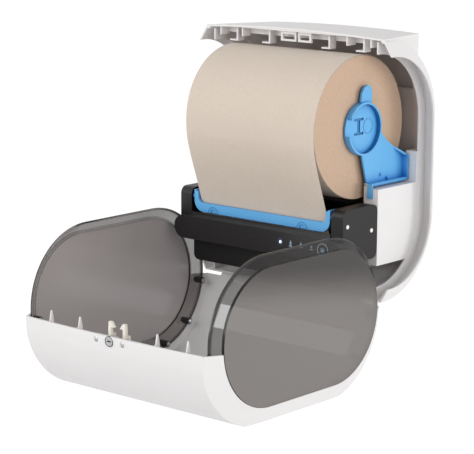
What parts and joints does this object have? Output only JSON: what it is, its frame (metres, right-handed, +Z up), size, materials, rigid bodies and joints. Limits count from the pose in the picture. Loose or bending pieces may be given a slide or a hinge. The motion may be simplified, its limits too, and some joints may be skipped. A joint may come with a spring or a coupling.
{
  "type": "automatic roll towel dispenser",
  "caption": "Wall-mounted automatic roll towel dispenser with its front cover swung down, showing the roll, its two arms, the feed rollers and the control panel.",
  "frame": {"origin": "on the wall face, in the middle of the width and level with the middle of the side windows", "axes": "+Z up, +Y into the wall, +X to the right of someone facing the dispenser"},
  "size_m": [0.302, 0.4238, 0.422],
  "materials": {
    "white_plastic": "satin",
    "smoke_plastic": "gloss, see-through",
    "blue_plastic": "satin",
    "black_plastic": "fine matte",
    "panel_plastic": "satin",
    "ivory_plastic": "satin",
    "clear_lens": "gloss",
    "steel": "satin",
    "dark_steel": "satin",
    "rubber": "matte",
    "gear_plastic": "satin",
    "kraft_paper": "matte, creped",
    "cardboard": "matte",
    "cell_sleeve": "gloss",
    "board": "satin"
  },
  "bodies": {
    "base": {"rear_housing": "white_plastic", "left_side_box": "white_plastic", "right_side_box": "white_plastic", "left_arm_pin": "steel", "right_arm_pin": "steel", "left_cheek": "black_plastic", "right_cheek": "black_plastic", "left_end_plate": "black_plastic", "right_end_plate": "black_plastic", "left_cheek_pegs": "ivory_plastic", "right_cheek_pegs": "ivory_plastic", "module_beam": "black_plastic", "chute": "black_plastic", "tear_bar": "steel", "paper_guide": "blue_plastic", "control_panel": "panel_plastic", "lamp_lenses": "clear_lens", "sensor_lenses": "dark_steel", "circuit_board": "board", "gear_motor": "dark_steel", "battery_tray": "black_plastic", "battery_cells": "cell_sleeve", "battery_contacts": "steel", "battery_lid": "black_plastic", "hinge_pins": "steel", "paper_web": "kraft_paper"},
    "cover": {"cover_shell": "white_plastic", "left_window": "smoke_plastic", "right_window": "smoke_plastic", "left_window_screws": "steel", "right_window_screws": "steel", "latch_cover": "white_plastic", "lock_screws": "white_plastic"},
    "left_arm": {"left_roll_arm": "blue_plastic"},
    "right_arm": {"right_roll_arm": "blue_plastic"},
    "roll": {"paper_roll": "kraft_paper", "core_tube": "cardboard"},
    "drive": {"drive_shaft": "steel", "drive_rubber": "rubber", "drive_gear": "gear_plastic"},
    "pinch": {"pinch_roller": "steel"},
    "motor_output": {"motor_shaft": "steel", "motor_gear": "gear_plastic"},
    "button": {"feed_button": "panel_plastic"},
    "lock": {"lock_barrel": "steel"},
    "latch": {"latch_plate": "ivory_plastic"}
  },
  "joints": [
    {"name": "cover_hinge", "type": "hinge", "parent": "base", "child": "cover", "pos_m": [0, -0.102, -0.159], "axis": [-1, 0, 0], "range_deg": [0, 90]},
    {"name": "right_arm_swing", "type": "hinge", "parent": "base", "child": "right_arm", "pos_m": [0.1085, -0.057, -0.018], "axis": [0, 1, 0], "range_deg": [0, 13], "stiffness_Nm_per_rad": 0.5, "springref_deg": -8.59},
    {"name": "left_arm_swing", "type": "hinge", "parent": "base", "child": "left_arm", "pos_m": [-0.1085, -0.057, -0.018], "axis": [0, -1, 0], "range_deg": [0, 13], "stiffness_Nm_per_rad": 0.5, "springref_deg": -8.59},
    {"name": "roll_spin", "type": "hinge", "parent": "base", "child": "roll", "pos_m": [0, -0.098, 0.051], "axis": [1, 0, 0], "continuous": true},
    {"name": "drive_spin", "type": "hinge", "parent": "base", "child": "drive", "pos_m": [0, -0.1377, -0.08], "axis": [1, 0, 0], "continuous": true},
    {"name": "pinch_spin", "type": "hinge", "parent": "base", "child": "pinch", "pos_m": [0, -0.1571, -0.08], "axis": [1, 0, 0], "continuous": true},
    {"name": "motor_spin", "type": "hinge", "parent": "base", "child": "motor_output", "pos_m": [0.115, -0.1137, -0.0588], "axis": [1, 0, 0], "continuous": true},
    {"name": "button_press", "type": "slide", "parent": "base", "child": "button", "axis": [0, 1, 0], "range_m": [0, 0.0012], "stiffness_N_per_m": 400, "springref_m": -0.001},
    {"name": "lock_turn", "type": "hinge", "parent": "cover", "child": "lock", "pos_m": [0, -0.4215, -0.1665], "axis": [0, -1, 0], "range_deg": [0, 90.02]},
    {"name": "latch_slide", "type": "slide", "parent": "cover", "child": "latch", "axis": [1, 0, 0], "range_m": [0, 0.00452]}
  ],
  "couplings": [
    {"joint": "drive_spin", "follows": "roll_spin", "ratio": 6.1429},
    {"joint": "pinch_spin", "follows": "roll_spin", "ratio": -19.111},
    {"joint": "motor_spin", "follows": "roll_spin", "ratio": -9.2143},
    {"joint": "lock_turn", "follows": "latch_slide", "rad_per_m": 347.22}
  ]
}
